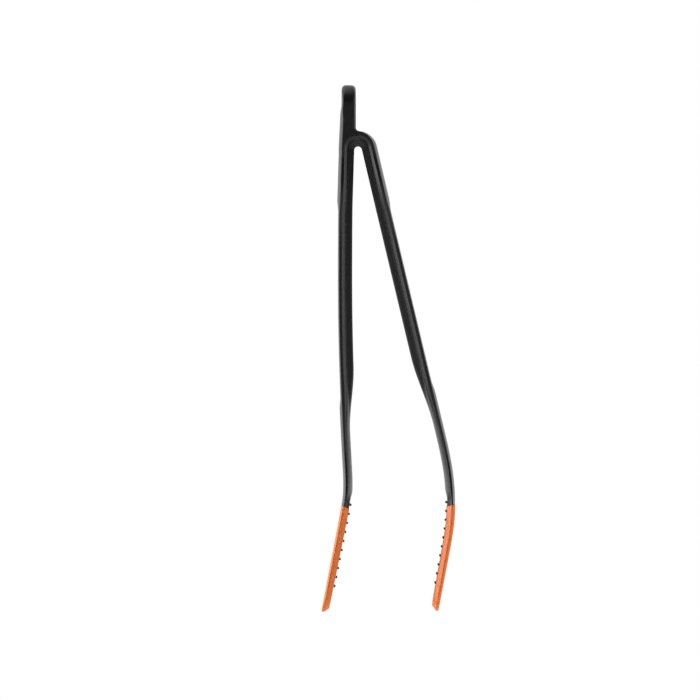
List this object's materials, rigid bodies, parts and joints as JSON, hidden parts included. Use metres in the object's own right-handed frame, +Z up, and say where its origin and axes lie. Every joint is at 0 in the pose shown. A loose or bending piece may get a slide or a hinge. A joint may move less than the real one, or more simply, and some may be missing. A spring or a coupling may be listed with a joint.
{
  "type": "spring tongs",
  "caption": "Sprung kitchen tongs with a hanging tab, ribbed arms joined by a U-bend, and nubbed heads edged with soft silicone.",
  "frame": {"origin": "centre of the hanging hole, in the middle of the tab's width", "axes": "+Z up along the fixed arm towards the tab, +X from the fixed arm to the moving arm, +Y across the arms' width"},
  "size_m": [0.0734, 0.038, 0.2896],
  "materials": {
    "nylon": "satin black glass-filled nylon with a fine moulded grain",
    "silicone": "soft matte orange silicone"
  },
  "bodies": {
    "fixed": {"fixed_arm": "nylon", "fixed_head_edge": "silicone", "spring_bend": "nylon"},
    "moving": {"moving_arm": "nylon", "moving_head_edge": "silicone"}
  },
  "joints": [
    {"name": "squeeze", "type": "hinge", "parent": "fixed", "child": "moving", "pos_m": [0.00498, 0, -0.0255], "axis": [0, 1, 0], "range_deg": [0, 12.5], "stiffness_Nm_per_rad": 3, "deforming": ["spring_bend"]}
  ]
}
